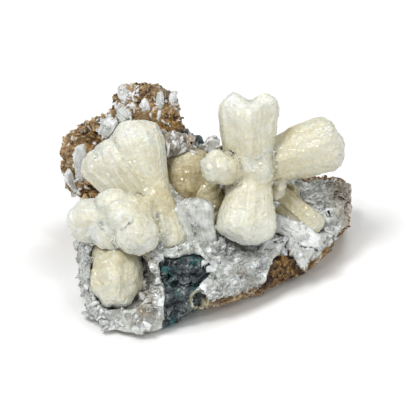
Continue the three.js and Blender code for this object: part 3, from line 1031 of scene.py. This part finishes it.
@dataclass
class DruseCrust:
    """The druse: a bed of grown-together crystals with free glassy ones over it."""

    grain: float = 0.58
    windows: list[list[tuple[float, float]]] = field(
        default_factory=lambda: [
            [
                (-22.4, -16.4), (-13.6, -17.4), (-8.6, -15.8), (-3.2, -15.2), (3, -18.8), (4.8, -24.6),
                (0.6, -30.4), (-4, -33), (-5, -43), (-19, -53), (-18.6, -41), (-18.2, -34), (-20.2, -25.6),
            ],
            [(21, -38), (21, -30), (25, -19), (30, -13), (34, -15), (39, -25), (38, -34)],
            [(-8, -36), (-6, -32), (-3.2, -31), (0, -32), (1.4, -36), (0, -40), (-3.2, -42)],
            [(24, -3), (30, -4.5), (47, -12.5), (47.5, -17), (39, -25.5), (30, -14.5), (23, -8)],
            [(22, 9), (30, 8), (46.5, -3), (47, -11), (42, -14), (24, -3)],
            [(-46, -14), (-25, -14), (-22, -20), (-22, -39), (-28, -42), (-42, -41), (-47, -30)],
        ]
    )

    def stain_and_shade(self, points: np.ndarray) -> np.ndarray:
        """Tell how browned the druse is: most at its rims and behind the sheaves, and in the niche beside the
        lower sheaf, where the brown is partly real lining and partly painted shade.

        Args:
            points: Places in millimetres.

        Returns:
            The share of brown at each place.
        """
        u, v, _ = FACE.read(points).T
        rim = 0.7 * smooth(-v + 0.37 * u, 36.4, 38.4) * smooth(u, -8, 0)
        right = smooth(u + 0.4 * v, 47, 56) * smooth(u, 44, 50)
        back = FACE.inside(points, [(-24, 12), (-22, 33), (-6, 30), (-4, 18)], 8.0)
        # Partly painted shade: the niche beside the lower sheaf is browned where its wall lies in shade, over
        # its own brown lining.
        niche_lining_and_shade = FACE.inside(points, [(-26.5, -17), (-21.5, -17), (-21, -44), (-28, -44)], 4.0)
        spots = smooth(drift(points, 6.0, 41, 2), 0.3, 0.9)
        return np.clip(rim + 0.6 * right + 0.6 * back + 0.3 * niche_lining_and_shade + 0.25 * spots, 0, 0.9)

    def build(
        self, bed_material: bpy.types.Material, glass: bpy.types.Material, white: bpy.types.Material
    ) -> None:
        """Make the bed from its CAD node and grow the free crystals over it.

        Args:
            bed_material: The bed's material.
            glass: The free crystals' material.
            white: The material of the whiter blades among them.
        """
        bed = cad_copy("druse_bed", "druse_crust", self.grain, 5)
        points = places(bed)
        _, name, facet = Grains(3.6, 51).read(points)
        _, other, chip = Grains(1.7, 52).read(points)
        foot = smooth(points[:, 2], 2.2, 4)
        swell = 0.9 * drift(points, 9.0, 53) + 0.4 * drift(points, 4.0, 54)
        calm = 1 - 0.6 * FACE.inside(points, self.windows[0], 4.0)
        free = smooth(gaps(points, "stilbite"), 0.3, 1.2)
        relief = 0.2 + swell + calm * (0.4 * (name - 0.5) + 1.7 * facet + 0.2 * (other - 0.5) + 0.7 * chip)
        emboss(bed, foot * (free * relief - 0.2 * (1 - free)))
        keep_value(bed, "free", free)
        keep_value(bed, "tint", 0.6 * name + 0.4 * other)
        keep_value(bed, "stain_and_shade", self.stain_and_shade(points))
        shade(bed, 25)
        settle(bed, "druse", bed_material, "druse_crust")

        def outward(points: np.ndarray, normals: np.ndarray) -> np.ndarray:
            """Place crystals where the bed faces out, none over the windows or at the ground.

            Args:
                points: Places in millimetres.
                normals: The surface's directions there.

            Returns:
                The share of the density at each place.
            """
            share = smooth(normals @ FACE.turn()[:, 2], -0.3, 0.4) * smooth(points[:, 2], 2.5, 5)
            share = share * (0.25 + 0.75 * smooth(drift(points, 8.0, 59, 2), -0.3, 0.3))
            for window in self.windows:
                share = share * (1 - FACE.inside(points, window, 1.5))
            return share

        def streaks(points: np.ndarray, normals: np.ndarray) -> np.ndarray:
            """Place white blades in streaks, most on the niche's lip and at the lower right.

            Args:
                points: Places in millimetres.
                normals: The surface's directions there.

            Returns:
                The share of the density at each place.
            """
            lip = FACE.inside(points, [(-46, -36), (-20, -36), (-20, -48), (-44, -48)], 4.0)
            right = FACE.inside(points, [(20, -4), (46, -12), (40, -24), (20, -18)], 6.0)
            patch = smooth(drift(points, 7.0, 57, 2), 0.1, 0.5)
            return outward(points, normals) * np.clip(patch + lip + right, 0, 1)

        for scatter in (
            CrystalScatter("druse_points", Habit.POINT, 0.05, (0.8, 1.9), 0.35, 0.6, 0.3, 61),
            CrystalScatter("druse_plates", Habit.PLATE, 0.24, (0.9, 2.6), 0.45, 0.66, 0.6, 62),
            CrystalScatter("druse_grains", Habit.GRAIN, 0.3, (0.5, 1.5), 0.6, 0.6, 0.3, 63),
            CrystalScatter("druse_blades", Habit.PLATE, 0.24, (1.4, 3.6), 0.35, 0.66, 0.75, 64),
        ):
            streaked = scatter.name == "druse_blades"
            piece = scatter.build(bed, streaks if streaked else outward)
            keep_value(piece, "stain_and_shade", 0.4 * self.stain_and_shade(places(piece)))
            keep_value(piece, "grain", places(piece) * (0.3, 1.0, 1.0))
            settle(piece, "druse", white if streaked else glass)


@dataclass
class WhitePlates:
    """The tabular crystals that stand on the rock, each dressed with striae along its length."""

    grain: float = 0.26

    def build(self, material: bpy.types.Material, blades_material: bpy.types.Material) -> None:
        """Make each plate from its CAD node, with smaller blades grown on it.

        Args:
            material: The plates' material.
            blades_material: The smaller blades' material.
        """

        def everywhere(points: np.ndarray, normals: np.ndarray) -> np.ndarray:
            """Blades all over the plate, in patches."""
            return smooth(drift(points, 2.5, 75), -0.3, 0.4)

        for seed, source in enumerate(sorted(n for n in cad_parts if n.startswith("plate_"))):
            piece = cad_copy("white_" + source, source, self.grain, 1)
            points = places(piece)
            middle = points.mean(axis=0)
            axis = np.linalg.svd(points - middle, full_matrices=False)[2][0]
            striae = points - 0.85 * ((points - middle) @ axis)[:, None] * axis
            steps = 0.3 * np.round(1.5 * drift(striae, 1.6, 70 + seed)) / 1.5
            emboss(piece, 0.05 + steps + 0.1 * drift(striae, 0.8, 90 + seed))
            keep_value(piece, "grain", striae)
            keep_value(piece, "free", np.ones(len(points)))
            keep_value(piece, "tint", np.full(len(points), 0.5 + 0.4 * math.sin(3 * seed)))
            shade(piece, 30)
            settle(piece, "plate", material, source)
            name = "blades_" + source
            scatter = CrystalScatter(name, Habit.PLATE, 0.35, (0.8, 2.2), 0.35, 0.5, 0.7, 80 + seed)
            blades = scatter.build(piece, everywhere)
            keep_value(blades, "grain", places(blades))
            settle(blades, "plate", blades_material)


@dataclass
class Studio:
    """Pale floor, soft light and the camera at the photograph's angle."""

    distance: float = 0.9
    seen: float = 166.4

    def build(self, floor_material: bpy.types.Material) -> None:
        """Make the floor, the lights and the camera.

        Args:
            floor_material: The floor's material.
        """
        bpy.ops.object.select_all(action="DESELECT")
        bpy.ops.mesh.primitive_plane_add(size=6.0, location=(0, 0, -0.0002))
        floor = bpy.context.object
        floor.name = "studio_floor"
        bpy.ops.object.transform_apply(location=True)
        floor.data.materials.append(floor_material)
        for name, place, size, power in (
            ("key_light", (-0.4, -0.3, 1.0), 0.35, 7.0),
            ("fill_light", (0.7, -0.6, 0.5), 0.6, 1.2),
            ("top_light", (0.2, 0.3, 0.95), 0.4, 2.6),
            ("glint_left", (-0.15, -0.6, 0.85), 0.05, 0.9),
            ("glint_right", (0.4, -0.5, 0.85), 0.05, 0.8),
        ):
            self.lamp(name, place, size, power)
        world = bpy.data.worlds.new("studio_air")
        world.use_nodes = True
        world.node_tree.nodes["Background"].inputs["Color"].default_value = (0.96, 0.98, 1.0, 1)
        world.node_tree.nodes["Background"].inputs["Strength"].default_value = 0.33
        bpy.context.scene.world = world
        bpy.context.scene.view_settings.view_transform = "Standard"
        camera = bpy.data.objects.new("camera", bpy.data.cameras.new("camera"))
        bpy.context.scene.collection.objects.link(camera)
        out = Vector(FACE.turn()[:, 2])
        camera.location = Vector(FACE.place((0, 0, 0))) * MM + self.distance * out
        camera.rotation_euler = out.to_track_quat("Z", "Y").to_euler()
        camera.data.sensor_width = 36
        camera.data.lens = 36 * self.distance / (self.seen * MM)
        camera.data.clip_start = 0.01
        bpy.context.scene.camera = camera

    def lamp(self, name: str, place: tuple[float, float, float], size: float, power: float) -> None:
        """Hang a square soft box that faces the specimen.

        Args:
            name: The lamp's name.
            place: Where it hangs, in metres.
            size: The side of the box in metres.
            power: Its power in watts.
        """
        data = bpy.data.lights.new(name, "AREA")
        data.size = size
        data.energy = power
        lamp = bpy.data.objects.new(name, data)
        bpy.context.scene.collection.objects.link(lamp)
        lamp.location = place
        lamp.rotation_euler = (Vector(place) - Vector((0, 0, 0.03))).to_track_quat("Z", "Y").to_euler()


def clusters() -> list[StilbiteCluster]:
    """Lay out the groups of sheaves on the face.

    Returns:
        The clusters, in the order in which they are built.
    """
    left = [
        Sheaf((-20.6, -2, 8.8), (-31.5, 35, 5), 21.5, 17, 0.9, 0.05),
        Sheaf((-24, -3, 9), (-47, 22.5, 3), 17, 12, 1.5, 0.1, 0.02),
        Sheaf((-22, -2, 9), (-40.5, 27, 5), 17, 14, 1.2, 0.05, 0.02),
        Sheaf((-22, 9, 9.5), (-15.5, -18, 10), 16, 12, 2.0, 0.1, 0.12),
        Sheaf((-22, -1, 13), (-55.4, -6, 15), 17.5, 16, 0.6, 0.5),
        Sheaf((-24, -2, 15), (-44.5, 2.2, 20), 12.5, 12, 0.6, 0.5),
        Sheaf((-26, -2, 13), (-38, -6, 25), 15, 14, 0.6, 0.55),
        Sheaf((-26, -3, 12), (-45, -12.4, 18.5), 15, 14, 0.6, 0.5),
        Sheaf((-23, 4, 10), (-20.5, -14, 14.5), 13, 12, 1.0, 0.2, 0.08),
        Sheaf((-28, -1, 15), (-27.6, -16.5, 26.5), 17, 16, 0.6, 0.4),
    ]
    center = [
        Sheaf((15.6, 8, 6), (16, 46.4, 11), 23.6, 17, 0.9, 0.1),
        Sheaf((18.5, 20, 6), (14.6, -14, 11), 23.4, 17, 1.0, 0.15),
        Sheaf((17, 14, 8), (-2, 16.8, 16), 12.6, 12.4, 0.5, 0.8, 0.08),
        Sheaf((18, 15, 4), (20.5, 17, 13.6), 16, 13, 0.5, 0.5, 0.12),
        Sheaf((21, 16.8, 1), (53.4, 28, -2), 22, 16, 0.9, 0.1, 0.02),
        Sheaf((22, 8, 0), (31, 7, 1), 8, 7, 0.5, 0.8, 0.08),
    ]
    # The last number of the lower, back and mid sheaves paints them warmer and darker, partly as painted
    # shade.
    lower = [Sheaf((-36, -10, 5), (-36.4, -39, 20), 19.6, 19, 0.4, 0.5, 0.12)]
    back = [Sheaf((-6, -6, -12), (-9, 24, -5), 26.5, 19, 0.9, 0.2, 0.34)]
    mid = [Sheaf((6, -9, -8), (-3, 11, -2), 13, 11, 0.8, 0.5, 0.28)]
    fan = [Sheaf((-4, -15, 8), (-6.4, 3.4, 12), 15.6, 5, 1.1, 0.2, ragged=2.0)]
    blade = [
        Sheaf((24, 8, -10), (44.4, -10.4, -9), 13.5, 8, 1.3, 0.1, -0.04),
        Sheaf((27, 4, -13), (37, 6.5, -14), 7, 6, 0.8, 0.5, 0.1),
    ]
    return [
        StilbiteCluster("sheaves_left", "stilbite_left_cluster", left, seed=101),
        StilbiteCluster("sheaves_center", "stilbite_center_cluster", center, seed=102),
        StilbiteCluster("sheaf_lower", "stilbite_lower_sheaf", lower, seed=103, sugar=0.8, rounds=110),
        StilbiteCluster("sheaf_back", "stilbite_back_sheaf", back, seed=104),
        StilbiteCluster("sheaf_mid", "stilbite_mid_sheaf", mid, seed=105),
        StilbiteCluster("fan_white", "stilbite_white_fan", fan, 0.28, 106, "plate", 0.3, 60, 0.9),
        StilbiteCluster("blades_right", "stilbite_right_blade", blade, 0.32, 107),
    ]


def main() -> None:
    """Build the specimen and its studio, piece by piece."""
    logging.basicConfig(level=logging.INFO, format="%(name)s %(message)s", stream=sys.stdout)
    pearly = PearlyStilbite().build()
    tips = PearlyStilbite("stilbite_blade_tips", (0.08, 0.25), 0.05, 0.0, 0.1).build()
    white, blades = WhitePlate().build(), WhitePlate("stilbite_white_blades", 0.0).build()
    BasaltMatrix().build(StainedBasalt().build(), blades)
    DruseCrust().build(DruseBed().build(), GlassyDruse().build(), blades)
    fan_tones = ("#a4a79e", "#c2c5bc", "#dadcd6", "#f0f2ef")
    fan_materials = [
        WhitePlate(name, milky, fan_tones).build()
        for name, milky in (("stilbite_white_fan", 0.45), ("stilbite_fan_tips", 0.0))
    ]
    for cluster in clusters():
        cluster.build(*(fan_materials if cluster.slot == "plate" else (pearly, tips)))
    WhitePlates().build(white, blades)
    Studio().build(PaleFloor().build())


if __name__ == "__main__":
    main()
